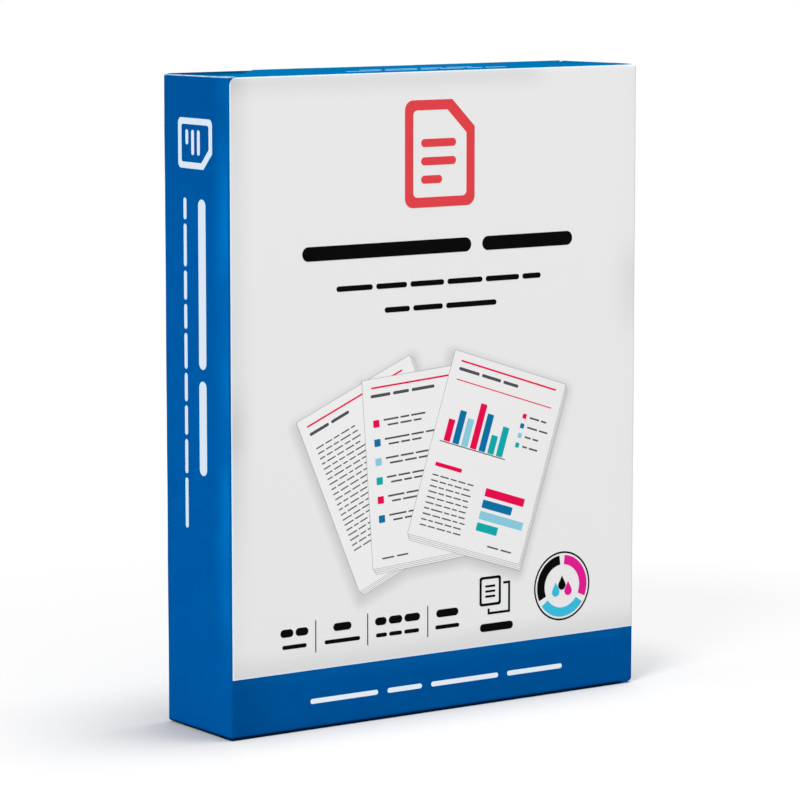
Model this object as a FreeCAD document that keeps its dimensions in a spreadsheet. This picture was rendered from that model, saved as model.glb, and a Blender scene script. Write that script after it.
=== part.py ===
import FreeCAD, Part
import math
import os
import Sketcher

# A wrapped ream of office paper, standing on one of its folded ends.
# X runs along the pack's width, Y from the printed front to the back with its seam, Z up.
# The origin is the middle of the bottom end, on the surface that the pack stands on.

doc = FreeCAD.newDocument("ream")

# Driving dimensions, in millimetres apart from the count of sheets.
SIZES = [
    ("sheet_width", 215.9, "short side of a letter sheet"),
    ("sheet_length", 279.4, "long side of a letter sheet"),
    ("sheet_count", 500, "sheets in the pack"),
    ("sheet_caliper", 0.1016, "thickness of one sheet of 75 g office paper"),
    ("wrap_ply", 0.12, "thickness of the coated wrapping paper"),
    ("side_slack", 0.9, "air between the sheets and the wrap at each long edge"),
    ("face_slack", 0.1, "air between the sheets and the wrap at front and back"),
    ("fold_rise", 0.45, "height that each folded layer adds at an end"),
    ("wrap_overhang", 48.0, "how far the wrap reaches past the stack, the depth of a flap"),
    ("corner_setback", 2.5, "from the pack's corner to where a flap's mitre starts"),
    ("long_edge_radius", 1.3, "rounding of the four long edges"),
    ("end_edge_radius", 0.9, "rounding of the edges round each end"),
    ("lap_offset", 22.0, "from the middle of the back to the glued free edge"),
    ("lap_rise", 0.2, "height of that free edge, one ply and its glue"),
]

sheet = doc.addObject("Spreadsheet::Sheet", "Sizes")
for row, (alias, value, meaning) in enumerate(SIZES, start=1):
    sheet.set(f"A{row}", alias)
    sheet.set(f"B{row}", str(value))
    sheet.set(f"C{row}", meaning)
    sheet.setAlias(f"B{row}", alias)
doc.recompute()

# The stack of sheets and the wrap round it give the outside sizes of the pack.
WIDTH = "(Sizes.sheet_width + 2 * Sizes.wrap_ply + 2 * Sizes.side_slack)"
STACK = "(Sizes.sheet_count * Sizes.sheet_caliper)"
DEPTH = f"({STACK} + 2 * Sizes.wrap_ply + 2 * Sizes.face_slack)"

# Three layers of folded wrap lie on each end: the tucks of the two long edges, the flap of
# the back over them, and the flap of the front over both. Each is one rise above the last.
TUCK_LAYERS = 1
BACK_FLAP_LAYERS = 2
FRONT_FLAP_LAYERS = 3
FULL_HEIGHT = f"(Sizes.sheet_length + 2 * {FRONT_FLAP_LAYERS} * Sizes.fold_rise)"


def bind(thing, **expressions):
    for path, expression in expressions.items():
        thing.setExpression(path.replace("__", "."), expression)


def origin_plane(body, role):
    return next(plane for plane in body.Origin.OriginFeatures if plane.Role == role)


def plan_sketch(body, name, width, depth):
    # The pack seen from above: a rectangle about the origin with its long edges rounded.
    # It is drawn at a rough size first, and its three dimensions then drive it.
    half_w = 100.0
    half_d = 25.0
    r = 2.0
    plan = body.newObject("Sketcher::SketchObject", name)
    plan.AttachmentSupport = (origin_plane(body, "XY_Plane"), "")
    plan.MapMode = "FlatFace"
    corners = [(1, 1), (-1, 1), (-1, -1), (1, -1)]
    quarter = math.pi / 2
    for turn, (side_x, side_y) in enumerate(corners):
        centre = FreeCAD.Vector(side_x * (half_w - r), side_y * (half_d - r), 0)
        circle = Part.Circle(centre, FreeCAD.Vector(0, 0, 1), r)
        arc = Part.ArcOfCircle(circle, turn * quarter, (turn + 1) * quarter)
        plan.addGeometry(arc, False)
    sides = [
        ((half_w - r, half_d), (-half_w + r, half_d)),
        ((-half_w, half_d - r), (-half_w, -half_d + r)),
        ((-half_w + r, -half_d), (half_w - r, -half_d)),
        ((half_w, -half_d + r), (half_w, half_d - r)),
    ]
    for begin, end in sides:
        line = Part.LineSegment(FreeCAD.Vector(*begin, 0), FreeCAD.Vector(*end, 0))
        plan.addGeometry(line, False)
    # Arcs are curves 0 to 3 and sides are curves 4 to 7, both anticlockwise.
    for arc in range(4):
        side = 4 + arc
        next_arc = (arc + 1) % 4
        plan.addConstraint(Sketcher.Constraint("Tangent", arc, 2, side, 1))
        plan.addConstraint(Sketcher.Constraint("Tangent", side, 2, next_arc, 1))
    for side in (4, 6):
        plan.addConstraint(Sketcher.Constraint("Horizontal", side))
    for side in (5, 7):
        plan.addConstraint(Sketcher.Constraint("Vertical", side))
    for arc in (1, 2, 3):
        plan.addConstraint(Sketcher.Constraint("Equal", 0, arc))
    plan.addConstraint(Sketcher.Constraint("Symmetric", 0, 3, 2, 3, -1, 1))
    driving = [
        ("width", Sketcher.Constraint("DistanceX", 5, 1, 7, 2, 2 * half_w), width),
        ("depth", Sketcher.Constraint("DistanceY", 6, 1, 4, 2, 2 * half_d), depth),
        ("corner", Sketcher.Constraint("Radius", 0, r), "Sizes.long_edge_radius"),
    ]
    for label, constraint, expression in driving:
        index = plan.addConstraint(constraint)
        plan.renameConstraint(index, label)
        plan.setExpression(f"Constraints.{label}", expression)
    return plan


def wrapped_block(name, layers, back_rise="0", end_rise="0"):
    # The wrapped stack with so many folded layers on each end, every edge softly rounded.
    # Where the glued free edge runs, its rise is added to the back, and to the ends as well.
    body = doc.addObject("PartDesign::Body", name)
    plan = plan_sketch(body, f"{name}_plan", WIDTH, f"{DEPTH} + 2 * {back_rise}")
    pad = body.newObject("PartDesign::Pad", f"{name}_pad")
    pad.Profile = plan
    length = f"Sizes.sheet_length + 2 * {layers} * Sizes.fold_rise + 2 * {end_rise}"
    bind(pad, Length=length)
    bottom = f"({FRONT_FLAP_LAYERS} - {layers}) * Sizes.fold_rise - {end_rise}"
    bind(body, Placement__Base__z=bottom)
    doc.recompute()
    ends = [
        f"Face{number}"
        for number, face in enumerate(pad.Shape.Faces, start=1)
        if abs(abs(face.normalAt(0, 0).z) - 1) < 1e-6
    ]
    rounding = body.newObject("PartDesign::Fillet", f"{name}_rounding")
    rounding.Base = (pad, ends)
    bind(rounding, Radius="Sizes.end_edge_radius")
    body.Tip = rounding
    return body


def flap_outline(name, grown="0"):
    # A flap is a mitred strip: full width at the front edge, narrowing at 45 degrees from
    # each corner to its free edge. It runs the whole height, so it cuts both ends alike.
    flap = doc.addObject("Part::Wedge", name)
    half_base = f"({WIDTH} / 2 - Sizes.corner_setback + {grown})"
    half_free = f"({WIDTH} / 2 - Sizes.corner_setback - Sizes.wrap_overhang)"
    front = f"(-{DEPTH} / 2 - {grown})"
    bind(flap, Xmin=f"-{half_base}", Xmax=half_base, X2min=f"-{half_free}", X2max=half_free)
    bind(flap, Ymin=front, Ymax=f"-{DEPTH} / 2 + Sizes.wrap_overhang")
    bind(flap, Zmin="0", Zmax=FULL_HEIGHT, Z2min="0", Z2max=FULL_HEIGHT)
    return flap


def shared(name, block, outline):
    both = doc.addObject("Part::Common", name)
    both.Base = block
    both.Tool = outline
    return both


# The stack in its wrap, with the side tucks folded on to both ends.
tucked_stack = wrapped_block("tucked_stack", TUCK_LAYERS)

# The front flaps lie outermost: each runs on from the front face over the rounded edge.
front_flaps = shared(
    "front_flaps",
    wrapped_block("front_flap_block", FRONT_FLAP_LAYERS),
    flap_outline("front_flap_outline"),
)

# The back flaps lie under them, so that only their mitres and a strip by the back show.
back_flap_outline = flap_outline("back_flap_outline", "Sizes.lap_rise")
back_flap_outline.Placement = FreeCAD.Placement(
    FreeCAD.Vector(0, 0, 0), FreeCAD.Rotation(FreeCAD.Vector(0, 0, 1), 180)
)
back_flaps = shared(
    "back_flaps",
    wrapped_block("back_flap_block", BACK_FLAP_LAYERS),
    back_flap_outline,
)

# The wrap closes along the back, where its free edge is glued down over the first panel.
# The panel on that side stands one ply higher, on the back and over the back flaps.
lap_side = doc.addObject("Part::Box", "lap_side")
bind(lap_side, Placement__Base__x="Sizes.lap_offset")
bind(lap_side, Length=f"{WIDTH} / 2 - Sizes.lap_offset")
bind(lap_side, Width=f"{DEPTH} / 2 + Sizes.lap_rise")
bind(lap_side, Height=FULL_HEIGHT)
lap_panel = shared(
    "lap_panel",
    wrapped_block("lap_panel_block", TUCK_LAYERS, "Sizes.lap_rise"),
    lap_side,
)
raised_flaps = shared(
    "raised_flaps",
    wrapped_block("raised_flap_block", BACK_FLAP_LAYERS, "Sizes.lap_rise", "Sizes.lap_rise"),
    back_flap_outline,
)
lap_flaps = shared("lap_flaps", raised_flaps, lap_side)

# Sealed and opaque, the pack is one solid from end to end.
ream = doc.addObject("Part::MultiFuse", "wrapped_ream")
ream.Label = "wrapped_ream"
ream.Shapes = [tucked_stack, back_flaps, lap_panel, lap_flaps, front_flaps]
ream.Refine = True
# The free edge stands out on the back alone, so the pack sits half of it forward of centre.
bind(ream, Placement__Base__y="-Sizes.lap_rise / 2")
doc.recompute()

sub_parts = [ream]

for thing in doc.Objects:
    for word in ("Invalid", "Error"):
        if word in thing.State:
            raise RuntimeError(f"{thing.Name} is {word}: {thing.getStatusString()}")

for sub_part in sub_parts:
    if sub_part.Shape.isNull() or not sub_part.Shape.isValid():
        raise RuntimeError(f"{sub_part.Label} has no valid shape")
    if len(sub_part.Shape.Solids) != 1:
        raise RuntimeError(f"{sub_part.Label} is not one solid")

os.makedirs("parts", exist_ok=True)
for sub_part in sub_parts:
    sub_part.Shape.exportStep(f"parts/{sub_part.Label}.step")
    box = sub_part.Shape.BoundBox
    faces = len(sub_part.Shape.Faces)
    litres = sub_part.Shape.Volume / 1e6
    print(f"{sub_part.Label}: {box.XLength:.2f} x {box.YLength:.2f} x {box.ZLength:.2f} mm,")
    print(f"  bottom at {box.ZMin:.3f}, {faces} faces, {litres:.4f} litres")
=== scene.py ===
import math

import bmesh
import bpy
from mathutils import Matrix, Vector, noise
from mathutils.geometry import delaunay_2d_cdt


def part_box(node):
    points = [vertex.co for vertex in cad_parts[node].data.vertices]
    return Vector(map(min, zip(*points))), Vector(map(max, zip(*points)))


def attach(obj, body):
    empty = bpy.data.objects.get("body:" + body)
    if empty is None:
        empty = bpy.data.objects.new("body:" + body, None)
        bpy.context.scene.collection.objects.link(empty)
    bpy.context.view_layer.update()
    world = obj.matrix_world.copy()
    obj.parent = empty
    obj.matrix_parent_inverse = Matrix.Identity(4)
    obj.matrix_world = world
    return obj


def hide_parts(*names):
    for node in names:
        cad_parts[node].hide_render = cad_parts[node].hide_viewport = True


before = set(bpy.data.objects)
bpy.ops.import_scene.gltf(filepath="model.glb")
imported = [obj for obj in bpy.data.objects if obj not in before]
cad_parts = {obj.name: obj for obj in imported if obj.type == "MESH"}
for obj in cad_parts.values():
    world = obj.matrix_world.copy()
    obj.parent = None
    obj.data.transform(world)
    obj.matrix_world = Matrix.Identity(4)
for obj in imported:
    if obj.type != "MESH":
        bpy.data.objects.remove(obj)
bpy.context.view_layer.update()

# The wrap: one sheet of coated paper, printed on the outside, folded round the stack like a
# parcel. Its ends are tucked in from the sides, then the back flap and the front flap are
# glued over them, and its free edge is glued down the back.
mm = 0.001
low, high = (Vector(corner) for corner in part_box("wrapped_ream"))
half_width = (high.x - low.x) / 2
height = high.z
front_y = low.y
lap_back_y = high.y
lap_rise = 0.2 * mm
lap_x = 22 * mm
back_y = lap_back_y - lap_rise
fold_rise = 0.45 * mm
overhang = 48 * mm
setback = 2.5 * mm
long_edge_radius = 1.0 * mm
end_edge_radius = 0.7 * mm
band_top = 26.2 * mm
arc_steps = 4
edge_zone = 11 * mm  # how far from a fold the wrap still draws in
edge_fall = 0.14 * mm  # how far it draws in at the fold
across_mitre = 0.7  # a distance across a mitred fold, per distance along X
# The fan of sheets in the printed picture: middle of each, in millimetres, and its turn.
sheet_wide, sheet_tall = 64, 83
fan = {"left": (-29.5, 108.5, 23), "middle": (-6.5, 110.5, 4), "right": (26, 110.5, -18)}
mitre_lean = {-1: 0.86, 1: 1.0}  # how far the front flap narrows on its left and right, per depth


def end_levels(y):
    """How high each folded layer lies on an end: they spread towards the back."""
    share = (y - front_y) / (back_y - front_y)
    return {
        "tuck": height - (0.02 + 0.56 * share) * mm,
        "back flap": height - (0.10 + 0.30 * share) * mm,
        "lapped back flap": height - (0.06 + 0.16 * share) * mm,
        "front flap": height,
    }


def corner_bulge(x, y, at_top):
    """How far an end stands out at its front left corner, and is worn back at its right one."""
    away = math.hypot(half_width - abs(x), y - front_y)
    if at_top:
        return (0.25 if x < 0 else -0.45) * mm * max(0.0, 1 - away / (12 * mm)) ** 2
    return -1.1 * mm * max(0.0, 1 - away / (7 * mm)) ** 2 if x > 0 else 0.0


def stations(start, end, marks=()):
    """Places along one face: close together near its two folds, wider in the middle."""
    length = abs(end - start)
    way = 1 if end > start else -1
    fine = [0.0, 0.35, 0.9, 1.8, 3, 4.5, 6.5, 8.5, 11]
    places = [step * mm for step in fine if step * mm < length / 2]
    places += [length - place for place in places]
    begin = max(place for place in places if place < length / 2)
    gap = length - 2 * begin
    count = max(1, round(gap / (5 * mm)))
    places += [begin + gap * step / count for step in range(1, count)]
    marked = [abs(mark - start) for mark in marks]
    kept = [place for place in places if all(abs(place - mark) > 0.3 * mm for mark in marked)]
    kept += [place for place in (0.0, length) if place not in kept] + marked
    return [start + way * place for place in sorted(kept)]


def corner_arc(centre, first):
    """Points round one long edge, a quarter turn from the angle first, ends left out."""
    turns = [first + 90 * step / arc_steps for step in range(1, arc_steps)]
    for turn in turns:
        way = Vector((math.cos(math.radians(turn)), math.sin(math.radians(turn))))
        yield centre + way * long_edge_radius, way, 0.0


ring = []  # place, outward way, distance from the nearest long fold


def face_run(start, end, normal, marks=()):
    """Ring points along one flat face, from its first long fold to its second."""
    along = 0 if abs(normal.y) > 0.5 else 1
    first, last = start[along], end[along]
    for place in stations(first, last, marks):
        point = start.copy()
        point[along] = place
        reach = min(abs(place - first), abs(place - last))
        ring.append((point, normal, reach))


right_x, left_x = half_width, -half_width
inset = long_edge_radius
mitre_marks = [half_width - setback + step * mm for step in (0.5, 0, -0.5, -1.2)]
both_marks = sorted([-mark for mark in mitre_marks] + mitre_marks)
south, east, north, west = Vector((0, -1)), Vector((1, 0)), Vector((0, 1)), Vector((-1, 0))

face_run(Vector((left_x + inset, front_y)), Vector((right_x - inset, front_y)), south, both_marks)
ring += corner_arc(Vector((right_x - inset, front_y + inset)), -90)
face_run(Vector((right_x, front_y + inset)), Vector((right_x, lap_back_y - inset)), east)
ring += corner_arc(Vector((right_x - inset, lap_back_y - inset)), 0)
lap_marks = [mark for mark in both_marks if mark > 0] + [lap_x + 0.5 * mm]
face_run(Vector((right_x - inset, lap_back_y)), Vector((lap_x, lap_back_y)), north, lap_marks)
under_marks = [mark for mark in both_marks if mark < 0]
lap_foot = lap_x - 0.04 * mm
lapped_from = lap_foot + 0.02 * mm
face_run(Vector((lap_foot, back_y)), Vector((left_x + inset, back_y)), north, under_marks)
ring += corner_arc(Vector((left_x + inset, back_y - inset)), 90)
face_run(Vector((left_x, back_y - inset)), Vector((left_x, front_y + inset)), west)
ring += corner_arc(Vector((left_x + inset, front_y + inset)), 180)

# The lap's edge is not a long fold, so the faces on its two sides stay flat up to it.
for index, (point, normal, reach) in enumerate(ring):
    if normal is north:
        reach = min(abs(point.x - left_x), abs(right_x - point.x)) - inset
        ring[index] = (point, normal, reach)


def ease(reach):
    """1 at a fold, falling to 0 over the edge zone, where the wrap pulls round the stack."""
    return max(0.0, 1 - reach / edge_zone) ** 2


def end_level(point, normal):
    """How high the folded layers stand where the wrap turns over an end, at a ring point."""
    levels = end_levels(point.y)
    if abs(normal.x) > 0.2:
        return levels["tuck"]
    layer = "front flap" if normal.y < 0 else "back flap"
    if normal.y > 0 and point.x > lapped_from:
        layer = "lapped back flap"
    into = (half_width - setback + 0.5 * mm - abs(point.x)) / mm
    share = min(1.0, max(0.0, into))
    return levels["tuck"] + (levels[layer] - levels["tuck"]) * share


def side_place(ring_index, z, end_reach):
    """A ring point at a height, drawn in a little near the folds, unevenly along them."""
    point, normal, reach = ring[ring_index]
    pull = 1 - (1 - ease(reach)) * (1 - ease(end_reach))
    seat = Vector((point.x, point.y, z))
    uneven = 1 + 0.55 * noise.noise(seat / (38 * mm)) + 0.2 * noise.noise(seat / (11 * mm))
    inward = edge_fall * pull * uneven
    beside = edge_fall * ease(3 * reach) * uneven
    in_x = inward if abs(normal.x) > 0.2 else beside
    in_y = inward if abs(normal.y) > 0.2 else beside
    x = point.x - math.copysign(in_x, point.x)
    return Vector((x, point.y - math.copysign(in_y, point.y), z))


wrap = bmesh.new()
crease_layer = wrap.verts.layers.float.new("crease")
foot_layer = wrap.verts.layers.float.new("foot")
under_layer = wrap.verts.layers.float.new("under")


def wrap_vertex(place, crease=0.0, foot=0.0, under=0.0):
    vertex = wrap.verts.new(place)
    vertex[crease_layer] = crease
    vertex[foot_layer] = foot
    vertex[under_layer] = under
    return vertex


# How much painted shade each layer gets at an end, by how far it lies under others.
under_shade = {"tuck": 1.0, "back flap": 1.0, "lapped back flap": 0.3, "front flap": 0.0}

# Heights of the rows that every face shares, with one on the printed band's upper edge.
rows = stations(3 * mm, height - 3 * mm, [band_top])
end_turns = [90 * step / arc_steps for step in range(arc_steps + 1)]


def turned_over(index, level, turn, way):
    """A ring point on the rounding over an end: way is 1 at the top and -1 at the bottom."""
    point, normal, reach = ring[index]
    near_corner = max(0.0, 1 - reach / (3.5 * mm)) ** 2
    taller = 0.2 if way > 0 else 0.9
    tall = end_edge_radius * (1 + taller * near_corner)
    seat = side_place(index, level - way * tall, 0.0)
    angle = math.radians(turn)
    seat -= Vector((normal.x, normal.y, 0)) * end_edge_radius * (1 - math.cos(angle))
    seat.z += way * tall * math.sin(angle)
    return seat


columns = []
for index, (point, normal, reach) in enumerate(ring):
    level = end_level(point, normal)
    top = level + corner_bulge(point.x, point.y, True)
    bottom = height - level - corner_bulge(point.x, point.y, False)
    column = []
    for turn in reversed(end_turns):
        column.append(wrap_vertex(turned_over(index, bottom, turn, -1), foot=1.0))
    cut_edge = 0.45 if normal is north and abs(point.x - lap_x) < 0.1 * mm else 0.0
    for z in rows:
        reach_of_end = max(0.0, min(z, height - z) - end_edge_radius - 2 * fold_rise)
        seat = side_place(index, z, reach_of_end)
        column.append(wrap_vertex(seat, cut_edge, float(z < 4 * mm)))
    # The tucks' fold along the top has cracked, and has a painted highlight: a thin light line on
    # the middle of its rounding.
    worn_and_highlit = 1.0 if normal.x < -0.2 or (reach < 2 * mm and point.x < 0 > point.y) else 0.0
    worn_and_highlit = 0.25 if normal.x > 0.2 else worn_and_highlit
    # The painted shade of the top rounding follows the layer that it turns into.
    under = under_shade["front flap" if normal.y < -0.9 else "tuck"]
    if normal is north and point.x > lapped_from:
        under = under_shade["lapped back flap"]
    for turn in end_turns:
        crease = worn_and_highlit * {45: 1.0, 22.5: 0.25, 67.5: 0.25}.get(turn, 0.0)
        column.append(wrap_vertex(turned_over(index, top, turn, 1), crease, under=under))
    columns.append(column)

for index, column in enumerate(columns):
    beside = columns[(index + 1) % len(ring)]
    for row in range(len(column) - 1):
        face = wrap.faces.new([column[row], beside[row], beside[row + 1], column[row + 1]])
        face.smooth = True

layer_order = ["tuck", "back flap", "lapped back flap", "front flap"]  # lowest first
ply_edge = 0.5 * mm
walls = []  # the cut and folded edges of the layers, each down to the layer below


def flap_region(x, y, feet):
    """Which folded layer is uppermost at a place on an end, from the feet of its mitres."""
    way = 1 if x > 0 else -1
    front_foot, back_foot = feet[("front", way)], feet[("back", way)]
    narrowed = mitre_lean[way] * (y - front_foot.y)
    if abs(x) < abs(front_foot.x) - narrowed and y < front_y + overhang:
        return "front flap"
    if abs(x) < abs(back_foot.x) - (back_foot.y - y):
        return "lapped back flap" if x > lap_x else "back flap"
    return "tuck"


def layer_level(layer, x, y, at_top=True):
    """The height of a layer at a place: its folded edges are rounded, its middle is uneven."""
    level = end_levels(y)[layer]
    base = half_width - setback
    inside = 9 * mm
    if layer == "front flap":
        narrowed = mitre_lean[1 if x > 0 else -1] * (y - front_y)
        inside = min((base - narrowed - abs(x)) * across_mitre, front_y + overhang - y)
    elif layer != "tuck":
        inside = (base - (back_y - y) - abs(x)) * across_mitre
    level -= 0.1 * mm * max(0.0, 1 - inside / ply_edge) ** 2
    if layer == "front flap" and at_top:
        # Left of the middle it stands up a little towards its free edge.
        lift = math.exp(-((x + 50 * mm) / (34 * mm)) ** 2) * max(0.0, y - front_y) / overhang
        level += 0.2 * mm * lift
    level += corner_bulge(x, y, at_top)
    uneven = 0.5 - 0.5 * noise.noise(Vector((x, y, 0)) / (17 * mm))
    return level - 0.08 * mm * uneven


def within(x, y, outline):
    """Whether a place is inside a closed outline: a ray from it crosses it an odd number of times."""
    odd = False
    for first, second in zip(outline, outline[1:] + outline[:1]):
        if (first.y > y) != (second.y > y):
            if x < first.x + (y - first.y) * (second.x - first.x) / (second.y - first.y):
                odd = not odd
    return odd


def close_end(rim, at_top):
    """Lays the folded layers on one end, each with a wall down to the layer below."""
    count = len(rim)
    places = [Vector((vertex.co.x, vertex.co.y)) for vertex in rim]
    lines = []

    def line(*points):
        begin = len(places)
        places.extend(points)
        lines.extend((begin + step, begin + step + 1) for step in range(len(points) - 1))

    def on_rim(side, x):
        """The number of the rim's vertex on one face that is nearest to a place along it."""
        wanted = [i for i in range(count) if ring[i][1] is side]
        return min(wanted, key=lambda i: abs(places[i].x - x))

    feet = {}
    free_y = front_y + overhang
    for face, side, inward in (("front", south, 1), ("back", north, -1)):
        for way in (-1, 1):
            foot = on_rim(side, way * (half_width - setback))
            feet[(face, way)] = places[foot].copy()
            lean = mitre_lean[way] if face == "front" else 1.0
            diagonal = Vector((-way * lean, inward))
            reach = free_y - places[foot].y if face == "front" else half_width / 4
            lines.append((foot, len(places)))
            line(places[foot] + diagonal * reach)
            beside = places[foot] + Vector((-way * ply_edge / across_mitre, 0))
            line(beside + diagonal * 0.4 * mm, beside + diagonal * (reach - ply_edge))
    free_left, free_right = (
        way * (abs(feet[("front", way)].x) - mitre_lean[way] * (free_y - feet[("front", way)].y))
        for way in (-1, 1)
    )
    line(Vector((free_left, free_y)), Vector((free_right, free_y)))
    line(Vector((free_left, free_y - ply_edge)), Vector((free_right, free_y - ply_edge)))
    lap = on_rim(north, lap_x)
    lines.append((lap, len(places)))
    line(Vector((places[lap].x, free_y)))

    step = 5 * mm
    across = int(half_width / step)
    deep = int((back_y - front_y) / 2 / step)
    centre_y = (front_y + back_y) / 2
    for column in range(-across, across + 1):
        for row in range(-deep, deep + 1):
            seat = Vector((column * step, centre_y + row * step))
            inside_x = abs(seat.x) < half_width - 3 * mm
            if inside_x and abs(seat.y - centre_y) < centre_y - front_y - 3 * mm:
                places.append(seat)

    outline = places[:count]
    found = delaunay_2d_cdt(places, lines, [list(range(count))], 1, 2e-6, True)
    flat, triangles, origins = found[0], found[2], found[3]
    vertices = {}

    def seat_vertex(index, layer):
        shared = [origin for origin in origins[index] if origin < count]
        if shared:
            return rim[shared[0]]
        if (index, layer) not in vertices:
            x, y = flat[index]
            level = layer_level(layer, x, y, at_top)
            seat = (x, y, level if at_top else height - level)
            vertices[(index, layer)] = wrap_vertex(seat, under=under_shade[layer])
        return vertices[(index, layer)]

    sides = {}
    layers_at = {}
    for triangle in triangles:
        middle_x = sum(flat[i].x for i in triangle) / 3
        middle_y = sum(flat[i].y for i in triangle) / 3
        if not within(middle_x, middle_y, outline):
            continue
        layer = flap_region(middle_x, middle_y, feet)
        wrap.faces.new([seat_vertex(i, layer) for i in triangle]).smooth = True
        for a, b in zip(triangle, triangle[1:] + triangle[:1]):
            sides[(a, b)] = layer
            layers_at.setdefault(a, set()).add(layer)
    # Where a higher layer ends, a wall stands on the lower one, from a to b along its side.
    for (a, b), layer in sides.items():
        above = sides.get((b, a), layer)
        lowest, highest = layer_order.index(layer), layer_order.index(above)
        if highest <= lowest:
            continue

        def rising(index):
            names = layer_order[lowest:highest + 1]
            kept = [n for n in names if n in (layer, above) or n in layers_at[index]]
            return [seat_vertex(index, n) for n in kept]

        wall = list(dict.fromkeys(rising(b)[::-1] + rising(a)))
        if len(wall) > 2:
            walls.append(wrap.faces.new(wall))


close_end([column[-1] for column in columns], True)
close_end([column[0] for column in columns], False)

# Corners of two layers that meet at one place are merged, so that no sliver is left.
bmesh.ops.remove_doubles(wrap, verts=wrap.verts, dist=0.001 * mm)
bmesh.ops.dissolve_degenerate(wrap, edges=wrap.edges, dist=0.001 * mm)
walls = [wall for wall in walls if wall.is_valid]
bmesh.ops.triangulate(wrap, faces=walls, quad_method="BEAUTY", ngon_method="BEAUTY")
bmesh.ops.recalc_face_normals(wrap, faces=wrap.faces)
wrap_mesh = bpy.data.meshes.new("wrapper")
wrap.to_mesh(wrap_mesh)
wrap.free()
wrap_mesh.set_sharp_from_angle(angle=math.radians(40))


def scene_object(name, data):
    """An object at the origin for a mesh, a lamp or a camera."""
    thing = bpy.data.objects.new(name, data)
    bpy.context.scene.collection.objects.link(thing)
    return thing


wrapper = scene_object("wrapper", wrap_mesh)


def srgb(colour):
    """An sRGB hex colour as the linear values that a shader takes."""
    parts = [int(colour[start:start + 2], 16) / 255 for start in (1, 3, 5)]
    linear = [v / 12.92 if v <= 0.04045 else ((v + 0.055) / 1.055) ** 2.4 for v in parts]
    return (*linear, 1.0)


def node(tree, kind, inputs=None, **settings):
    """Adds a node, with values or links for its inputs, by name or by number."""
    made = tree.nodes.new(kind)
    for name, value in settings.items():
        setattr(made, name, value)
    for socket, value in (inputs or {}).items():
        if isinstance(value, bpy.types.NodeSocket):
            tree.links.new(value, made.inputs[socket])
        else:
            made.inputs[socket].default_value = value
    return made


def math_on(tree):
    """A function that chains Math nodes in a tree: one operation over its values in turn."""
    def work(operation, *values):
        total = values[0]
        for value in values[1:]:
            inputs = {0: total, 1: value}
            total = node(tree, "ShaderNodeMath", inputs, operation=operation).outputs[0]
        return total

    return work


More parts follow.
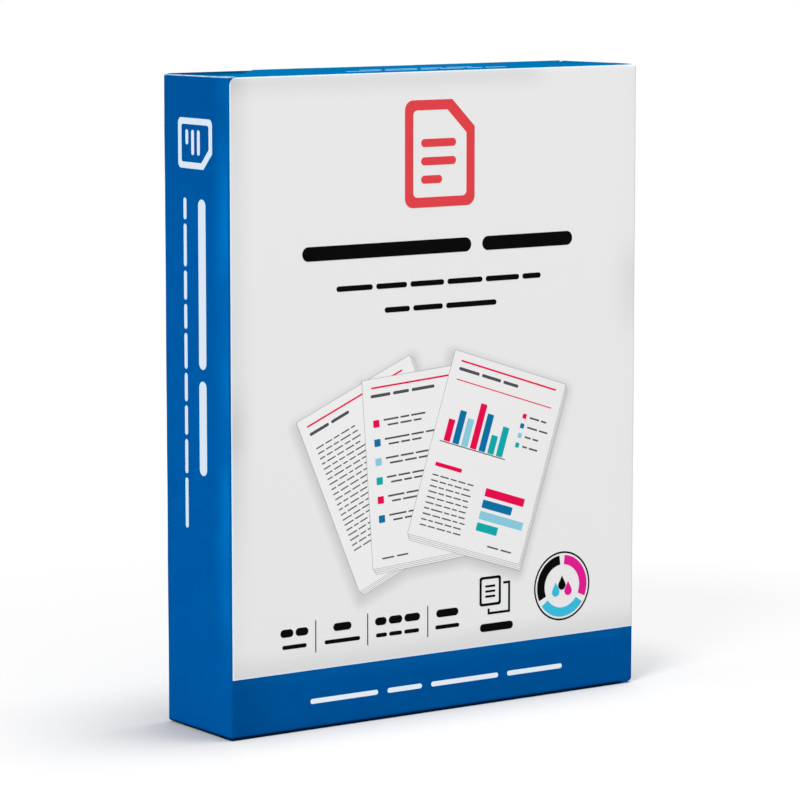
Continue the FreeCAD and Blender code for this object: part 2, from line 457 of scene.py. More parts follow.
def printed_wrap_paper():
    """Coated wrapping paper, offset printed: solid blue round a pale panel on the front.

    The eye sees a slightly mottled satin blue, with a painted sheen where it bends round the long
    fold, and a cool pale panel that painted shade darkens softly towards its borders. Folds show the
    white coating and a painted highlight.
    """
    material = bpy.data.materials.new("coated wrapping paper, offset printed")
    material.use_nodes = True
    tree = material.node_tree
    shader = tree.nodes["Principled BSDF"]
    place = node(tree, "ShaderNodeTexCoord").outputs["Object"]
    axes = node(tree, "ShaderNodeSeparateXYZ", {0: place}).outputs
    combine = math_on(tree)

    def fade(axis, start, end, first=1.0, last=0.0, way="SMOOTHSTEP"):
        """A value that passes smoothly from first to last between two places on an axis."""
        return node(
            tree, "ShaderNodeMapRange",
            {"Value": axes[axis], "From Min": start, "From Max": end, "To Min": first, "To Max": last},
            interpolation_type=way,
        ).outputs[0]

    def blend(share, base, over):
        colours = {0: share, 6: base, 7: over}
        return node(tree, "ShaderNodeMix", colours, data_type="RGBA").outputs[2]

    def box_distance(place, centre, reach):
        """How far a place is outside a box, from the box's centre and its half sizes."""
        steps = [("SUBTRACT", centre), ("ABSOLUTE", None), ("SUBTRACT", reach), ("MAXIMUM", Vector())]
        for operation, other in steps:
            inputs = {0: place} if other is None else {0: place, 1: other}
            place = node(tree, "ShaderNodeVectorMath", inputs, operation=operation).outputs[0]
        return node(tree, "ShaderNodeVectorMath", {0: place}, operation="LENGTH").outputs["Value"]

    # The blue: an even solid with a fine mottle. A painted sheen makes it paler in patches next
    # to the long fold, and painted light makes it paler along the top of the band under the panel.
    mottle = node(tree, "ShaderNodeTexNoise", {"Vector": place, "Scale": 1 / (7 * mm), "Detail": 4.0})
    blue = blend(mottle.outputs["Fac"], srgb("#004B8E"), srgb("#005499"))
    patches = node(
        tree, "ShaderNodeTexNoise", {"Vector": place, "Scale": 1 / (34 * mm), "Detail": 2.0}
    )
    patchy = node(
        tree, "ShaderNodeMapRange",
        {"Value": patches.outputs["Fac"], "From Min": 0.35, "From Max": 0.65, "To Min": 0.35},
    ).outputs[0]
    near_fold = combine("MULTIPLY", fade("Y", front_y + 1 * mm, front_y + 14 * mm), patchy)
    above_foot = fade("Z", 15 * mm, 90 * mm, 0.0, 1.0)
    fold_sheen_painted = combine(
        "MULTIPLY", near_fold, above_foot, fade("X", 0.5 * mm - half_width, 2 * mm - half_width)
    )
    blue = blend(fold_sheen_painted, blue, srgb("#0068B2"))
    on_band = fade("Y", front_y + 0.9 * mm, front_y + 1.1 * mm)
    at_long_edge = fade("Y", front_y + 0.9 * mm, front_y + 1.1 * mm, 0.0, 1.0)
    # Painted light: the band is paler towards its top.
    band_painted_light = combine("MULTIPLY", on_band, fade("Z", band_top - 8 * mm, band_top, 0.0, 0.7))
    blue = blend(band_painted_light, blue, srgb("#00589A"))
    # Painted shade makes it deeper on the band next to the long fold, and off the front towards the top.
    fold_painted_shade = combine(
        "MULTIPLY", on_band, fade("X", 1 * mm - half_width, 30 * mm - half_width, 0.5)
    )
    top_painted_shade = combine("MULTIPLY", fade("Z", 200 * mm, height, 0.0, 0.5), at_long_edge)
    blue = blend(combine("MAXIMUM", fold_painted_shade, top_painted_shade), blue, srgb("#00427C"))
    # The top end is a greener blue, with painted shade on the layers that lie under others, most
    # towards the back and least towards the right.
    on_end = fade("Z", height - 0.9 * mm, height - 0.5 * mm, 0.0, 1.0)
    end_painted_shade = node(tree, "ShaderNodeAttribute", attribute_name="under").outputs["Fac"]
    deep = combine(
        "MULTIPLY", end_painted_shade, fade("Y", -8 * mm, 10 * mm, 0.0, 1.0),
        fade("X", 40 * mm, 100 * mm, 1.0, 0.4),
    )
    end_blue = blend(deep, srgb("#005C8E"), srgb("#003C60"))
    blue = blend(on_end, blue, end_blue)

    # The panel: a pale tint of grey, with painted shade that darkens it softly towards its
    # borders. At the long fold the painted shade is deepest halfway up, and it is faint beside the
    # printed facts.
    up_panel = fade("Z", 0.0, height, 0.0, 1.0, "LINEAR")
    depth = node(tree, "ShaderNodeValToRGB", {0: up_panel})
    depth.color_ramp.interpolation = "EASE"
    tones = {0.0: 0.2, 0.22: 0.2, 0.4: 0.62, 0.47: 1.0, 0.56: 0.5, 0.8: 0.42, 1.0: 0.6}
    for share in list(tones)[1:-1]:
        depth.color_ramp.elements.new(share)
    for stop, tone in zip(depth.color_ramp.elements, tones.values()):
        stop.color = (tone, tone, tone, 1)
    at_left = combine("MULTIPLY", fade("X", -half_width, 14 * mm - half_width), depth.outputs[0])
    at_right = combine(
        "MULTIPLY", fade("X", half_width, half_width - 18 * mm),
        fade("Z", 150 * mm, 184 * mm, 0.0, 0.34), fade("Z", 184 * mm, 212 * mm),
    )
    at_top = combine(
        "MULTIPLY", fade("Z", height, height - 13 * mm), fade("X", 45 * mm, 65 * mm, 0.48, 0.1)
    )
    at_band = fade("Z", band_top, band_top + 13 * mm, 0.45)
    panel_painted_shade = combine("ADD", at_left, at_right, at_top, at_band)
    # Painted shade: the tint is a little darker towards the left.
    rightward = fade("X", -half_width, half_width, 0.0, 1.0, "LINEAR")
    tint = blend(rightward, srgb("#E2E2E1"), srgb("#E8E8E7"))
    pale = blend(panel_painted_shade, tint, srgb("#C5C5C6"))

    # The soft shadow under the picture's fan of sheets is printed with the panel.
    shades = []
    for across, up, turn in fan.values():
        turned = node(
            tree, "ShaderNodeVectorRotate",
            {"Vector": place, "Center": (across * mm, 0, up * mm), "Angle": math.radians(turn)},
            rotation_type="Y_AXIS",
        ).outputs[0]
        reach = Vector((sheet_wide / 2 * mm, 1, sheet_tall / 2 * mm))
        away = box_distance(turned, Vector((across * mm, 0, (up - 3) * mm)), reach)
        shades.append(node(
            tree, "ShaderNodeMapRange",
            {"Value": away, "From Min": 0.0, "From Max": 7 * mm, "To Min": 0.45, "To Max": 0.0},
            interpolation_type="SMOOTHSTEP",
        ).outputs[0])
    pale = blend(combine("MAXIMUM", *shades), pale, srgb("#A9A9AC"))

    # A thin light line, a painted highlight, runs along the panel's borders at the band, the long
    # fold and the top.
    line = combine(
        "MAXIMUM",
        fade("Z", band_top + 0.25 * mm, band_top + 0.5 * mm),
        fade("X", 1.25 * mm - half_width, 1.65 * mm - half_width),
        fade("Z", height - 0.95 * mm, height - 0.7 * mm, 0.0, 1.0),
    )
    pale = blend(combine("MULTIPLY", line, 0.9), pale, srgb("#DDE8F4"))

    # The panel's outline: it starts at the long fold, and its top corner there is rounded.
    corner = 3.2 * mm
    panel_low = Vector((0.95 * mm - half_width, 0, band_top - 20 * mm))
    panel_high = Vector((half_width + 20 * mm, 0, height - 0.35 * mm))
    centre = (panel_low + panel_high) / 2
    reach = (panel_high - panel_low) / 2 - Vector((corner, -1, corner))
    away = box_distance(place, centre, reach)
    panel = combine(
        "MULTIPLY",
        combine("LESS_THAN", away, corner),
        combine("GREATER_THAN", axes["Z"], band_top),
        combine("LESS_THAN", axes["Y"], front_y + 0.85 * mm),
    )
    printed = blend(panel, blue, pale)

    # Creases: the coating has cracked a little, so a thin broken line of white shows, which is
    # also a painted highlight on the folds.
    fold = node(tree, "ShaderNodeAttribute", attribute_name="crease").outputs["Fac"]
    wear = node(tree, "ShaderNodeTexNoise", {"Vector": place, "Scale": 1 / (4 * mm), "Detail": 5.0})
    broken_line = node(
        tree, "ShaderNodeMapRange",
        {"Value": wear.outputs["Fac"], "From Min": 0.35, "From Max": 0.6, "To Min": 0.6, "To Max": 0.95},
    ).outputs[0]
    # The back flap's mitred fold has cracked next to its right corner.
    crack_middle = Vector((102.4 * mm, 21.7 * mm, height))
    turned = node(
        tree, "ShaderNodeVectorRotate",
        {"Vector": place, "Center": crack_middle, "Angle": math.radians(45)},
        rotation_type="Z_AXIS",
    ).outputs[0]
    away = box_distance(turned, crack_middle, Vector((0.1 * mm, 4.6 * mm, 1 * mm)))
    crack = combine("MULTIPLY", combine("LESS_THAN", away, 0.3 * mm), 0.9)
    worn_and_highlit = combine("MAXIMUM", combine("MULTIPLY", fold, broken_line), crack)
    creased = blend(worn_and_highlit, printed, srgb("#C4DFF3"))

    # The rounding round the bottom end is dark with a painted contact shadow, but not by the right
    # long edge.
    foot = node(tree, "ShaderNodeAttribute", attribute_name="foot").outputs["Fac"]
    painted_contact_shadow = combine(
        "MULTIPLY", foot, fade("Z", 0.9 * mm, 1.9 * mm, 0.92),
        fade("X", half_width - 9 * mm, half_width - 4 * mm),
    )
    colour = blend(painted_contact_shadow, creased, srgb("#000A1C"))
    tree.links.new(colour, shader.inputs["Base Color"])

    fibre = node(tree, "ShaderNodeTexNoise", {"Vector": place, "Scale": 1 / (0.8 * mm), "Detail": 3.0})
    satin = node(
        tree, "ShaderNodeMapRange", {"Value": fibre.outputs["Fac"], "To Min": 0.42, "To Max": 0.56}
    )
    tree.links.new(satin.outputs[0], shader.inputs["Roughness"])
    relief = node(
        tree, "ShaderNodeBump",
        {"Height": fibre.outputs["Fac"], "Strength": 0.15, "Distance": 0.03 * mm},
    )
    tree.links.new(relief.outputs[0], shader.inputs["Normal"])
    shader.inputs["IOR"].default_value = 1.45
    shader.inputs["Specular IOR Level"].default_value = 0.0
    return material


wrap_mesh.materials.append(printed_wrap_paper())
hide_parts("wrapped_ream")
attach(wrapper, "root")

# The printed words: plain round-ended bars, offset printed in black on the front. They are
# ink on the paper, drawn as plates that stand a twentieth of a millimetre proud.
front = Matrix(((1, 0, 0, 0), (0, 0, -1, front_y), (0, 1, 0, 0), (0, 0, 0, 1)))
front @= Matrix.Scale(mm, 4)
ink_foot, ink_face = -0.12, 0.05


def word_bars_tree():
    """Rows of round-ended bars of uneven length, in the XY plane, all sizes in millimetres."""
    tree = bpy.data.node_groups.new("word bars", "GeometryNodeTree")
    sizes = {
        "Rows": 1, "Words": 3, "Row length": 60.0, "Row pitch": 6.0, "Bar height": 3.0,
        "Word gap": 2.0, "Unevenness": 0.45, "Ragged": 0.0, "Align": 0.0, "Seed": 1,
    }
    for name, value in sizes.items():
        kind = "NodeSocketInt" if isinstance(value, int) else "NodeSocketFloat"
        made = tree.interface.new_socket(name, in_out="INPUT", socket_type=kind)
        made.default_value = value
    tree.interface.new_socket("Ink", in_out="INPUT", socket_type="NodeSocketMaterial")
    tree.interface.new_socket("Geometry", in_out="OUTPUT", socket_type="NodeSocketGeometry")
    given = node(tree, "NodeGroupInput").outputs
    work = math_on(tree)
    index = node(tree, "GeometryNodeInputIndex").outputs[0]
    share_of = work("DIVIDE", index, given["Words"])
    row = node(tree, "ShaderNodeMath", {0: share_of}, operation="FLOOR").outputs[0]
    column = work("SUBTRACT", index, work("MULTIPLY", row, given["Words"]))

    # Each word takes a random share of what the gaps leave of its row.
    shorter = node(
        tree, "FunctionNodeRandomValue", {2: 0.0, 3: given["Ragged"], 7: row, 8: given["Seed"]}
    ).outputs[1]
    length = work("MULTIPLY", given["Row length"], work("SUBTRACT", 1.0, shorter))
    gaps = work("MULTIPLY", given["Word gap"], work("SUBTRACT", given["Words"], 1.0))
    inked = work("SUBTRACT", length, gaps)
    least = work("SUBTRACT", 1.0, given["Unevenness"])
    most = work("ADD", 1.0, given["Unevenness"])
    weight = node(
        tree, "FunctionNodeRandomValue", {2: least, 3: most, 7: index, 8: given["Seed"]}
    ).outputs[1]
    along = node(tree, "GeometryNodeAccumulateField", {"Value": weight, "Group ID": row}).outputs
    width = work("MULTIPLY", inked, work("DIVIDE", weight, along["Total"]))
    before = work("MULTIPLY", inked, work("DIVIDE", along["Trailing"], along["Total"]))
    slack = work("SUBTRACT", given["Row length"], length)
    middle = work(
        "ADD", before, work("MULTIPLY", column, given["Word gap"]), work("MULTIPLY", width, 0.5),
        work("MULTIPLY", length, -0.5), work("MULTIPLY", slack, 0.5, given["Align"]),
    )
    down = work("MULTIPLY", row, given["Row pitch"], -1.0)
    seat = node(
        tree, "ShaderNodeCombineXYZ", {0: middle, 1: down, 2: (ink_foot + ink_face) / 2}
    ).outputs[0]
    longer = work("SUBTRACT", width, given["Bar height"])
    stretch = work("MAXIMUM", 0.0, work("MULTIPLY", longer, 0.5))
    count = work("MULTIPLY", given["Rows"], given["Words"])
    points = node(tree, "GeometryNodePoints", {"Count": count}).outputs[0]
    kept = node(
        tree, "GeometryNodeStoreNamedAttribute",
        {"Geometry": points, "Name": "stretch", "Value": stretch},
    ).outputs[0]
    spread = node(tree, "GeometryNodeSetPosition", {"Geometry": kept, "Position": seat}).outputs[0]

    # One bar is a disc of ink whose two halves are pulled apart to the word's width.
    disc = node(
        tree, "GeometryNodeMeshCylinder",
        {"Vertices": 22, "Radius": work("MULTIPLY", given["Bar height"], 0.5),
         "Depth": ink_face - ink_foot},
    ).outputs["Mesh"]
    from_middle = node(
        tree, "ShaderNodeSeparateXYZ", {0: node(tree, "GeometryNodeInputPosition").outputs[0]}
    ).outputs[0]
    half = node(tree, "ShaderNodeMath", {0: from_middle}, operation="SIGN").outputs[0]
    halved = node(
        tree, "GeometryNodeStoreNamedAttribute", {"Geometry": disc, "Name": "half", "Value": half}
    ).outputs[0]
    bars = node(tree, "GeometryNodeInstanceOnPoints", {"Points": spread, "Instance": halved}).outputs[0]
    real = node(tree, "GeometryNodeRealizeInstances", {0: bars}).outputs[0]
    read = {name: node(tree, "GeometryNodeInputNamedAttribute", {"Name": name}).outputs["Attribute"]
            for name in ("half", "stretch")}
    pulled = node(tree, "ShaderNodeCombineXYZ", {0: work("MULTIPLY", *read.values())}).outputs[0]
    drawn = node(tree, "GeometryNodeSetPosition", {"Geometry": real, "Offset": pulled}).outputs[0]
    inked = node(tree, "GeometryNodeSetMaterial", {"Geometry": drawn, "Material": given["Ink"]})
    node(tree, "NodeGroupOutput", {"Geometry": inked.outputs[0]})
    return tree


def offset_ink(name, colour, mottle=0.006):
    """Offset ink on coated paper: matt and a little mottled, because the paper is not quite even."""
    material = bpy.data.materials.new(name)
    material.use_nodes = True
    tree = material.node_tree
    shader = tree.nodes["Principled BSDF"]
    place = node(tree, "ShaderNodeTexCoord").outputs["Object"]
    size = {"Vector": place, "Scale": 1 / (3 * mm), "Detail": 4.0}
    mottled = node(tree, "ShaderNodeTexNoise", size).outputs["Fac"]
    base = srgb(colour)
    thin = [value + (1 - value) * mottle for value in base[:3]] + [1.0]
    tint = node(tree, "ShaderNodeMix", {0: mottled, 6: base, 7: thin}, data_type="RGBA")
    tree.links.new(tint.outputs[2], shader.inputs["Base Color"])
    satin = node(tree, "ShaderNodeMapRange", {"Value": mottled, "To Min": 0.4, "To Max": 0.55})
    tree.links.new(satin.outputs[0], shader.inputs["Roughness"])
    shader.inputs["IOR"].default_value = 1.45
    shader.inputs["Specular IOR Level"].default_value = 0.02
    return material


def finish_print(name, plates, ink, face):
    """Makes plates of ink into a piece: it lies on its face and rides on the pack."""
    mesh = bpy.data.meshes.new(name)
    plates.to_mesh(mesh)
    plates.free()
    mesh.materials.append(ink)
    mesh.transform(face)
    piece = scene_object(name, mesh)
    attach(piece, "root")


def printed_words(name, ink, face, blocks):
    """One piece of bars: each block is the place of its first row's middle, and its sizes."""
    bars = bmesh.new()
    for seat, sizes in blocks:
        holder = scene_object("bars", bpy.data.meshes.new("bars"))
        words = holder.modifiers.new("words", "NODES")
        words.node_group = word_bars
        sockets = {item.name: item.identifier for item in word_bars.interface.items_tree}
        for size, value in {**sizes, "Ink": ink}.items():
            words[sockets[size]] = value
        evaluated = holder.evaluated_get(bpy.context.evaluated_depsgraph_get())
        mesh = bpy.data.meshes.new_from_object(evaluated)
        holder.modifiers.remove(words)
        bpy.data.objects.remove(holder)
        mesh.transform(seat if isinstance(seat, Matrix) else Matrix.Translation((*seat, 0)))
        bars.from_mesh(mesh)
        bpy.data.meshes.remove(mesh)
    finish_print(name, bars, ink, face)


word_bars = word_bars_tree()
black = offset_ink("offset ink, process black", "#030304", 0.002)
title = {"Words": 2, "Row length": 144.5, "Bar height": 6.3, "Word gap": 6.0, "Seed": 4}


def text_line(words, length, seed):
    """The sizes of one line of small text."""
    sizes = {"Words": words, "Row length": length, "Seed": seed}
    return {**sizes, "Bar height": 2.4, "Word gap": 1.8, "Unevenness": 0.5}


printed_words("front_title_bars", black, front, [
    ((0.3, 205.8), title),
    ((0.3, 190.1), text_line(6, 109.5, 3)),
    ((0.7, 179.6), text_line(3, 60.0, 8)),
])

# The facts along the foot of the panel: four short columns of bars, a bold line over a thin
# one, with three printed rules between them.
# A column is its middle, then the length and the count of words of its bold and thin line.
fact_columns = [
    (-76.6, (14.4, 2), (12.5, 1)),
    (-51.7, (9.5, 1), (18.6, 1)),
    (-22.5, (24.0, 3), (23.0, 3)),
    (4.3, (12.0, 1), (13.0, 1)),
]
facts = []
for seed, (across, bold, thin) in enumerate(fact_columns):
    for up, bar_height, (length, words) in ((43.6, 3.5, bold), (37.5, 1.8, thin)):
        facts.append(((across, up), {
            "Words": words, "Row length": length, "Bar height": bar_height,
            "Word gap": 1.2, "Unevenness": 0.3, "Seed": seed,
        }))
printed_words("front_fact_bars", black, front, facts)


def arc_points(x, y, radius, first, last, steps):
    """Places on an arc round a point, between two angles in degrees."""
    turns = [math.radians(first + (last - first) * step / steps) for step in range(steps + 1)]
    return [(x + radius * math.cos(turn), y + radius * math.sin(turn)) for turn in turns]


def rounded(left, bottom, right, top, radius, steps=6):
    """The outline of a rectangle with rounded corners, or of a disc if they meet."""
    corners = [(right, top, 0), (left, top, 90), (left, bottom, 180), (right, bottom, 270)]
    outline = []
    for x, y, first in corners:
        centre_x = x - radius if x == right else x + radius
        centre_y = y - radius if y == top else y + radius
        outline += arc_points(centre_x, centre_y, radius, first, first + 90, steps)
    return outline


def printed_levels(name, ink, face, levels):
    """One piece of flat shapes of ink with closed sides, in groups that stand so far proud.

    Within a group, an outline inside another is a hole.
    """
    plates = bmesh.new()
    for lift, outlines in levels:
        curve = bpy.data.curves.new(name, "CURVE")
        curve.dimensions = "2D"
        curve.fill_mode = "BOTH"
        curve.extrude = (ink_face + lift - ink_foot) / 2
        for outline in outlines:
            spline = curve.splines.new("POLY")
            spline.points.add(len(outline) - 1)
            for point, place in zip(spline.points, outline):
                point.co = (*place, 0, 1)
            spline.use_cyclic_u = True
        holder = bpy.data.objects.new(name, curve)
        mesh = bpy.data.meshes.new_from_object(holder)
        bpy.data.objects.remove(holder)
        mesh.transform(Matrix.Translation((0, 0, (ink_face + lift + ink_foot) / 2)))
        group = bmesh.new()
        group.from_mesh(mesh)
        bmesh.ops.remove_doubles(group, verts=group.verts, dist=1e-4)
        bmesh.ops.recalc_face_normals(group, faces=group.faces)
        group.to_mesh(mesh)
        group.free()
        plates.from_mesh(mesh)
        bpy.data.meshes.remove(mesh)
    for flat_side in plates.faces:
        flat_side.smooth = False
    finish_print(name, plates, ink, face)


def printed_shapes(name, ink, face, outlines):
    """One piece of flat shapes of ink that all stand at the same level."""
    printed_levels(name, ink, face, [(0.0, outlines)])


rules = [rounded(x - 0.25, 33.7, x + 0.25, 47.8, 0.2, 2) for x in (-65.6, -38.4, -6.3)]
printed_shapes("front_fact_rules", black, front, rules)

# The emblem: a page in outline with a turned corner, high on the panel. It is offset printed
# in warm red, and its bars stand for lines on the page.
red = offset_ink("offset ink, warm red", "#DB4046")


def page_emblem(tall, line):
    """A page in outline with its top right corner turned down, and three bars on it."""
    wide = tall * 0.8
    cut = tall * 0.26
    right, top, radius = wide / 2, tall / 2, tall * 0.09
    outer = rounded(-right, -top, right, top, radius)
    inner = rounded(-right + line, -top + line, right - line, top - line, radius * 0.5)
    for outline, inset in ((outer, 0.0), (inner, line * 0.42)):
        edge_right = max(x for x, y in outline)
        edge_top = max(y for x, y in outline)
        # The first seven points are the top right corner's, which the turned corner replaces.
        sliced = [(edge_right, edge_top - cut + inset), (edge_right - cut + inset, edge_top)]
        outline[:7] = sliced
    bars = []
    for step, share in enumerate((0.5, 0.5, 0.3)):
        level = tall * (0.1 - 0.17 * step)
        start = -wide * 0.27
        half = line * 0.4
        bars.append(rounded(start, level - half, start + wide * share, level + half, line * 0.39))
    return [outer, inner] + bars


def placed(outlines, across, up, turn=0.0):
    """Outlines turned by an angle and moved to a place on a face."""
    move = Matrix.Translation((across, up, 0)) @ Matrix.Rotation(math.radians(turn), 4, "Z")
    return [[(move @ Vector((x, y, 0)))[:2] for x, y in outline] for outline in outlines]


emblem = page_emblem(46.5, 4.4)
printed_shapes("front_emblem", red, front, placed(emblem, 0, 246.2))

# The picture: a fan of three drawn stacks of sheets with charts, offset printed in colour.
# Each sheet is a palest grey tint, outlined in a thin darker one.
page_tint = offset_ink("offset tint, palest grey", "#E9E9E8")
grey_tint = offset_ink("offset tint, cool grey", "#9C9EA6")
text_grey = offset_ink("offset ink, dark grey", "#4C4D52")
crimson = offset_ink("offset ink, crimson", "#E4024A")
mid_blue = offset_ink("offset ink, process blue", "#006EA0")
light_blue = offset_ink("offset ink, light blue tint", "#88C7DA")
teal = offset_ink("offset ink, teal", "#06A5A7")

edges, papers, top_of = [], [], {}
level = 0.0
for side, seat in fan.items():
    for step in (3, 2, 1, 0):
        low_x, low_y = 0.5 * step - sheet_wide / 2, -0.8 * step - sheet_tall / 2
        high_x, high_y = low_x + sheet_wide, low_y + sheet_tall
        edge = rounded(low_x - 0.2, low_y - 0.2, high_x + 0.2, high_y + 0.2, 0.4, 2)
        paper = rounded(low_x, low_y, high_x, high_y, 0.3, 2)
        edges.append((level, placed([edge], *seat)))
        papers.append((level + 0.006, placed([paper], *seat)))
        level += 0.012
    top_of[side] = level
    level += 0.012
printed_levels("picture_sheet_edges", grey_tint, front, edges)
printed_levels("picture_sheets", page_tint, front, papers)


def on_sheet(side, across, up):
    """A place on one of the drawn sheets, from its middle."""
    middle_x, middle_y, turn = fan[side]
    seat = Matrix.Translation((middle_x, middle_y, top_of[side]))
    return seat @ Matrix.Rotation(math.radians(turn), 4, "Z") @ Matrix.Translation((across, up, 0))


heading = {"Words": 3, "Row length": 34.0, "Bar height": 1.4, "Word gap": 1.4}
footer = {**heading, "Words": 2, "Row length": 14.0, "Bar height": 0.7}
paragraph = {
    "Words": 5, "Row pitch": 2.5, "Bar height": 0.6, "Word gap": 0.9, "Align": -1.0, "Ragged": 0.12,
}
listed = {
    "Rows": 6, "Words": 3, "Row pitch": 8.4, "Row length": 30.0, "Bar height": 0.8,
    "Word gap": 1.0, "Align": -1.0, "Ragged": 0.35,
}
key = {**listed, "Rows": 4, "Words": 2, "Row pitch": 4.4, "Row length": 12.0, "Seed": 9}
printed_words("picture_text", text_grey, front, [
    (on_sheet("right", -10.5, 34.3), heading),
    (on_sheet("right", -14.6, -13.5), {**paragraph, "Rows": 10, "Row length": 25.0, "Seed": 5}),
    (on_sheet("right", 23.0, 22.5), key),
    (on_sheet("middle", -11.0, 34.0), {**heading, "Seed": 11}),
    (on_sheet("middle", -7.0, 23.0), {**listed, "Seed": 13}),
    (on_sheet("middle", -7.0, 20.6), {**listed, "Row length": 26.0, "Seed": 14}),
    (on_sheet("left", -17.0, 33.5), {**heading, "Words": 2, "Row length": 22.0}),
    (on_sheet("right", 19.0, -37.6), footer),
    (on_sheet("middle", -20.0, -37.6), footer),
    (on_sheet("left", -15.5, 26.5), {**paragraph, "Rows": 21, "Row length": 24.0, "Seed": 6}),
])

# Colours on the sheets: a column chart, a bar chart and its key on the right one, marks down
# the middle one, and rules under the headings.
# Each ink has its columns by place and height, the length of its bar, and the rows it marks.
colours = {
    "crimson": (crimson, [(-26, 10), (-11, 20.5)], 22.5, (0, 4)),
    "blue": (mid_blue, [(-21, 15), (-6, 17)], 17, (1, 5)),
    "light": (light_blue, [(-16, 12.5)], 25, (2,)),
    "teal": (teal, [(-1, 8.5), (4, 13.5)], 12, (3,)),
}
for place, (name, (ink, chart, length, marked_rows)) in enumerate(colours.items()):
    right = [rounded(u, 2, u + 3.6, 2 + tall, 0.3, 2) for u, tall in chart]
    right.append(rounded(3.5, -16.5 - 5.2 * place, 3.5 + length, -12.8 - 5.2 * place, 0.4, 2))
    right.append(rounded(13, 21.4 - 4.4 * place, 15.2, 23.6 - 4.4 * place, 0.3, 2))
    middle = [
        rounded(-27.5, 20.2 - 8.4 * row, -24.2, 23.5 - 8.4 * row, 0.4, 2) for row in marked_rows
    ]
    left = []
    if name == "crimson":
        right += [rounded(-27.5, 37.4, 27.5, 38.2, 0.3, 2), rounded(-27.5, 29.2, 27.5, 29.7, 0.2, 2)]
        right.append(rounded(-27, -9.6, -12, -7.8, 0.3, 2))
        middle.append(rounded(-27.5, 37.2, 27.5, 38.0, 0.3, 2))
        left.append(rounded(-28, 36.9, 26, 37.7, 0.3, 2))
    shapes = {"right": right, "middle": middle, "left": left}
    levels = [
        (top_of[side], placed(outlines, *fan[side])) for side, outlines in shapes.items() if outlines
    ]
    printed_levels(f"picture_{name}", ink, front, levels)
base_line = placed([rounded(-28, 1.3, 9.5, 1.75, 0.2, 2)], *fan["right"])
printed_levels("picture_chart_base", text_grey, front, [(top_of["right"], base_line)])

# The two badges at the foot of the panel: a pair of pages in outline over a bar, and a ring
# in three inks round three drops. Both are offset printed on the panel.
page = [rounded(21.9, 44.2, 33.7, 57.4, 1.3), rounded(23.1, 45.4, 32.5, 56.2, 0.7)]
page_behind = [(35.0, 54.4), (38.8, 54.4), (38.8, 40.2), (26.4, 40.2), (26.4, 42.9), (27.5, 42.9),
               (27.5, 41.3), (37.7, 41.3), (37.7, 53.3), (35.0, 53.3)]
lines_on_page = [rounded(25, v, 30.6, v + 1.0, 0.4, 2) for v in (47.9, 50.2, 52.5)]
under_bar = rounded(22.2, 32.6, 40.4, 36.2, 1.7)
printed_shapes("front_page_badge", black, front, page + [page_behind, under_bar] + lines_on_page)


def ring_slice(x, y, inner, outer, first, last):
    """The outline of a slice of a ring round a point, between two angles in degrees."""
    back = arc_points(x, y, inner, first, last, 28)[::-1]
    return arc_points(x, y, outer, first, last, 28) + back


def drop(x, y, radius):
    """The outline of a falling drop."""
    return [(x, y + 2.1 * radius)] + arc_points(x, y, radius, 150, 390, 24)


badge_x, badge_y = 67.9, 48.9
cyan = offset_ink("offset ink, process cyan", "#38B8D8")
magenta = offset_ink("offset ink, process magenta", "#DC188E")
badge_rim = [
    rounded(badge_x - r, badge_y - r, badge_x + r, badge_y + r, r, 16) for r in (15.7, 14.9)
]
# The slice of the ring in each ink starts at an angle, and its drop has its own place.
badge_inks = {
    "black": (black, 96, (67.9, 49.2), badge_rim),
    "cyan": (cyan, 216, (64.4, 46.4), []),
    "magenta": (magenta, -24, (71.4, 46.4), []),
}
for name, (ink, first, drop_seat, others) in badge_inks.items():
    own = [ring_slice(badge_x, badge_y, 9.8, 14.0, first, first + 108), drop(*drop_seat, 2.1)]
    printed_shapes(f"front_badge_{name}", ink, front, others + own)

# The line of words on the blue band: widely spaced bars of bare white paper, which the blue
# leaves unprinted. They are drawn as thin plates, like the inks.
white = offset_ink("bare coated paper in a solid, white", "#E4EDF4")
band_words = {"Words": 4, "Row length": 136.5, "Bar height": 2.2, "Word gap": 5.0, "Seed": 12}
printed_words("band_bars", white, front, [((-0.2, 12.4), band_words)])

# The print on the two long edges: the emblem and two lines that read downwards. It is bare
# paper in the blue as well, with painted shade that makes it a little duller than the bars on
# the band.
left_edge = Matrix(((0, 0, -1, -half_width), (-1, 0, 0, 0), (0, 1, 0, 0), (0, 0, 0, 1)))
right_edge = Matrix(((0, 0, 1, half_width), (1, 0, 0, 0), (0, 1, 0, 0), (0, 0, 0, 1)))
edge_lines = [
    ((0, 0), {"Words": 2, "Row length": 118.0, "Bar height": 5.8, "Word gap": 5.0, "Seed": 4}),
    ((12.0, -13.3), text_line(9, 142.0, 15)),
]
edge_emblem = placed(page_emblem(26.8, 2.7), 0, 253, -90)
shaded_edge_white = offset_ink("bare coated paper in a solid, with painted shade", "#C2D0DB")
for side, edge in (("left", left_edge), ("right", right_edge)):
    face = edge @ Matrix.Scale(mm, 4)
    downwards = face @ Matrix.Translation((5, 170.7, 0)) @ Matrix.Rotation(math.radians(-90), 4, "Z")
    printed_words(f"{side}_edge_bars", shaded_edge_white, downwards, edge_lines)
    printed_shapes(f"{side}_edge_emblem", shaded_edge_white, face, edge_emblem)

# The small print on the top flap: two lines in a pale blue tint, offset printed. The camera
# sees them almost edge-on.
flap = Matrix.Translation((0, 0, height + 0.02 * mm)) @ Matrix.Scale(mm, 4)
pale_blue = offset_ink("offset tint, pale blue", "#6FB0D8")
printed_words("top_flap_bars", pale_blue, flap, [
    ((0, -16), text_line(6, 85.0, 21)),
    ((0, -8), text_line(4, 60.0, 22)),
])

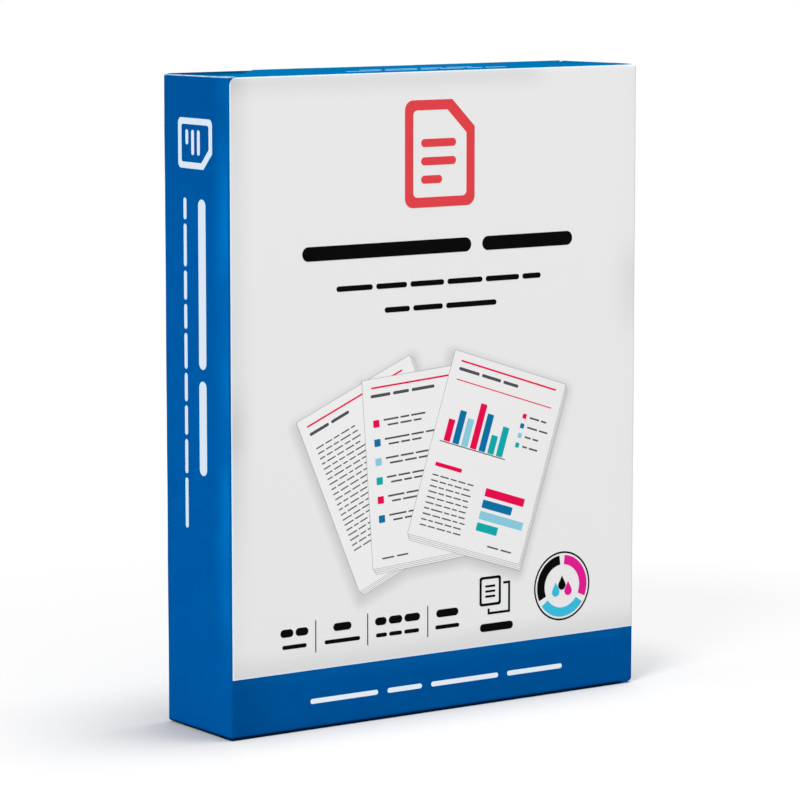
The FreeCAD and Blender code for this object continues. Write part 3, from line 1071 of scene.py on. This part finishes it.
# The floor: a plain pale studio sweep. It keeps the pack's shadow, and further off, camera
# rays see it as plain white.
bpy.ops.mesh.primitive_plane_add(size=8, location=(0, 0, -0.0001))
floor = bpy.context.object
floor.name = "studio_floor"
floor_material = bpy.data.materials.new("matt white floor")
floor_material.use_nodes = True
tree = floor_material.node_tree
tree.nodes.clear()
matt = node(tree, "ShaderNodeBsdfDiffuse", {"Color": srgb("#CECECE")}).outputs[0]
bounce = node(tree, "ShaderNodeBsdfDiffuse", {"Color": srgb("#AFAFB1")}).outputs[0]
white_sweep = node(tree, "ShaderNodeEmission", {"Color": srgb("#FFFFFF"), "Strength": 1.0}).outputs[0]


def looking_rays(tree):
    """1 for rays that look at a thing, straight or by mirror or glass, and 0 for its light."""
    rays = node(tree, "ShaderNodeLightPath").outputs
    mirrored = {0: rays["Is Glossy Ray"], 1: rays["Is Transmission Ray"]}
    other = node(tree, "ShaderNodeMath", mirrored, operation="MAXIMUM").outputs[0]
    both = {0: rays["Is Camera Ray"], 1: other}
    return node(tree, "ShaderNodeMath", both, operation="MAXIMUM").outputs[0]


looking = looking_rays(tree)
floor_place = node(tree, "ShaderNodeTexCoord").outputs["Object"]
distance = node(tree, "ShaderNodeVectorMath", {0: floor_place}, operation="LENGTH").outputs["Value"]
# Away from the pack the floor turns slowly to plain white, and sooner on its right.
far_off = node(
    tree, "ShaderNodeMapRange",
    {"Value": distance, "From Min": 118 * mm, "From Max": 400 * mm},
).outputs[0]
across = node(tree, "ShaderNodeSeparateXYZ", {0: floor_place}).outputs["X"]
far_right = node(
    tree, "ShaderNodeMapRange",
    {"Value": across, "From Min": 135 * mm, "From Max": 190 * mm, "To Max": 0.65},
    interpolation_type="SMOOTHSTEP",
).outputs[0]
away = node(tree, "ShaderNodeMath", {0: far_off, 1: far_right}, operation="MAXIMUM").outputs[0]
swept = node(tree, "ShaderNodeMixShader", {0: away, 1: matt, 2: white_sweep}).outputs[0]
seen = node(tree, "ShaderNodeMixShader", {0: looking, 1: bounce, 2: swept}).outputs[0]
node(tree, "ShaderNodeOutputMaterial", {"Surface": seen})
floor.data.materials.append(floor_material)

# The light from all round: a plain white sky, as in a studio with pale walls. It gives half
# the light that it shows to rays that look at it.
world = bpy.data.worlds.new("pale studio")
bpy.context.scene.world = world
world.use_nodes = True
tree = world.node_tree
tree.nodes.clear()
strength = node(
    tree, "ShaderNodeMapRange", {"Value": looking_rays(tree), "To Min": 0.5, "To Max": 1.0}
)
sky = node(tree, "ShaderNodeBackground", {"Color": srgb("#FFFFFF"), "Strength": strength.outputs[0]})
node(tree, "ShaderNodeOutputWorld", {"Surface": sky.outputs[0]})


# The lamps: a square softbox high above the pack, and another one far to the left of its
# front. Both are large, so the pack's shadow has no sharp edge.
def softbox(name, place, aim, size, power):
    """A square studio lamp at a place, turned towards a point."""
    lamp = bpy.data.lights.new(name, "AREA")
    lamp.shape = "SQUARE"
    lamp.size = size
    lamp.energy = power
    holder = scene_object(name, lamp)
    holder.location = place
    holder.rotation_euler = (Vector(aim) - Vector(place)).to_track_quat("-Z", "Y").to_euler()


middle = (0, 0, height / 2)
softbox("top softbox", (0.43, -0.18, 3.22), middle, 1.17, 87)
softbox("left softbox", (-2.86, -1.57, 1.65), middle, 1.26, 107)

# The camera: a long lens from the left of the front and a little above, as photographed. Its
# place, direction and focal length were fitted to the edges of the pack in the photograph.
lens = bpy.data.cameras.new("camera")
lens.sensor_width = 36
lens.lens = 174.52
camera = scene_object("camera", lens)
camera.location = (-0.98256, -1.38773, 0.35945)
forward = Vector((0.571724, 0.809995, -0.130537))
camera.rotation_euler = forward.to_track_quat("-Z", "Y").to_euler()
bpy.context.scene.camera = camera

bpy.context.scene.view_settings.view_transform = "Standard"
